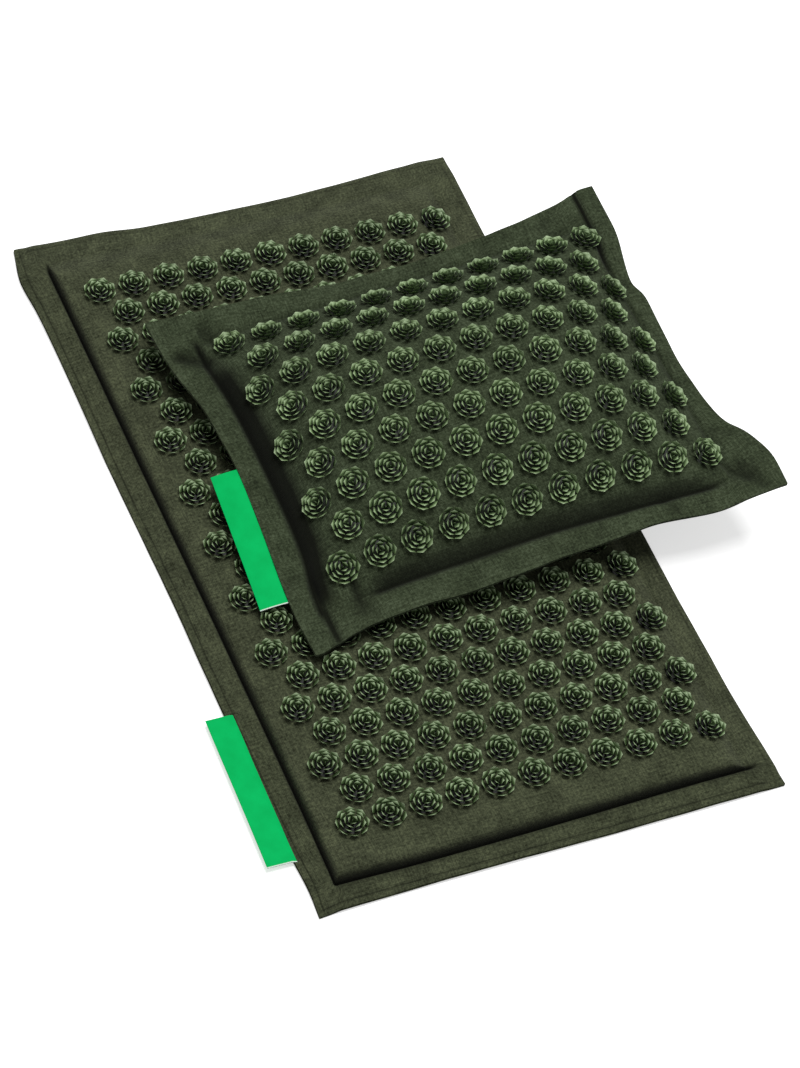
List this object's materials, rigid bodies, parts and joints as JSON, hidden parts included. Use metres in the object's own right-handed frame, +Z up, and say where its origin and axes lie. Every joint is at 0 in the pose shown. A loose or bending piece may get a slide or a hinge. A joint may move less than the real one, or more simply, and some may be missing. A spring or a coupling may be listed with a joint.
{
  "type": "acupressure mat with pillow",
  "caption": "Flat padded mat and matching cushion, each a bordered linen case studded with spiked lotus-shaped discs, with a side label and a zip underneath.",
  "frame": {"origin": "on the floor under the middle of the mat's outline", "axes": "+X across the mat towards the pillow's free end, +Y along the mat, +Z up"},
  "size_m": [0.5515, 0.7302, 0.1187],
  "materials": {
    "olive_linen": "coarse woven linen, matt, carrying olive moulded plastic rosettes",
    "dark_olive_linen": "coarse woven linen, matt, a little darker, carrying olive moulded plastic rosettes",
    "pale_filling": "soft pale pad",
    "husk_bag": "unbleached cotton bag of loose filling",
    "green_ribbon": "bright green woven ribbon, blank",
    "zip_tape": "olive woven tape",
    "zip_coil": "olive nylon coil",
    "zip_metal": "dark lacquered zinc"
  },
  "bodies": {
    "mat": {"mat_top_panel": "olive_linen", "mat_bottom_panel": "olive_linen", "mat_filling": "pale_filling", "mat_side_label": "green_ribbon", "mat_zip_tape_left": "zip_tape", "mat_zip_tape_right": "zip_tape", "mat_zip_coil_left": "zip_coil", "mat_zip_coil_right": "zip_coil", "mat_zip_top_stop": "zip_metal", "mat_zip_bottom_stop": "zip_metal"},
    "mat_slider": {"mat_zip_slider": "zip_metal"},
    "mat_pull": {"mat_zip_pull_tab": "zip_metal"},
    "pillow": {"pillow_top_panel": "dark_olive_linen", "pillow_bottom_panel": "dark_olive_linen", "pillow_filling": "husk_bag", "pillow_side_label": "green_ribbon", "pillow_zip_tape_left": "zip_tape", "pillow_zip_tape_right": "zip_tape", "pillow_zip_coil_left": "zip_coil", "pillow_zip_coil_right": "zip_coil", "pillow_zip_top_stop": "zip_metal", "pillow_zip_bottom_stop": "zip_metal"},
    "pillow_slider": {"pillow_zip_slider": "zip_metal"},
    "pillow_pull": {"pillow_zip_pull_tab": "zip_metal"}
  },
  "joints": [
    {"name": "pillow_lift", "type": "slide", "parent": "mat", "child": "pillow", "axis": [0, 0, 1], "range_m": [0, 0.25]},
    {"name": "mat_zip_slide", "type": "slide", "parent": "mat", "child": "mat_slider", "axis": [1, 0, 0], "range_m": [-0.2908, 0]},
    {"name": "mat_pull_flip", "type": "hinge", "parent": "mat_slider", "child": "mat_pull", "pos_m": [0.14545, 0.295, 0.00175], "axis": [0, -1, 0], "range_deg": [0, 175]},
    {"name": "pillow_zip_slide", "type": "slide", "parent": "pillow", "child": "pillow_slider", "axis": [0.9962, 0.0198, 0.0849], "range_m": [-0.1308, 0]},
    {"name": "pillow_pull_flip", "type": "hinge", "parent": "pillow_slider", "child": "pillow_pull", "pos_m": [0.15217, 0.16562, 0.05467], "axis": [0.0663, -0.805, -0.5896], "range_deg": [-85, 85]}
  ]
}
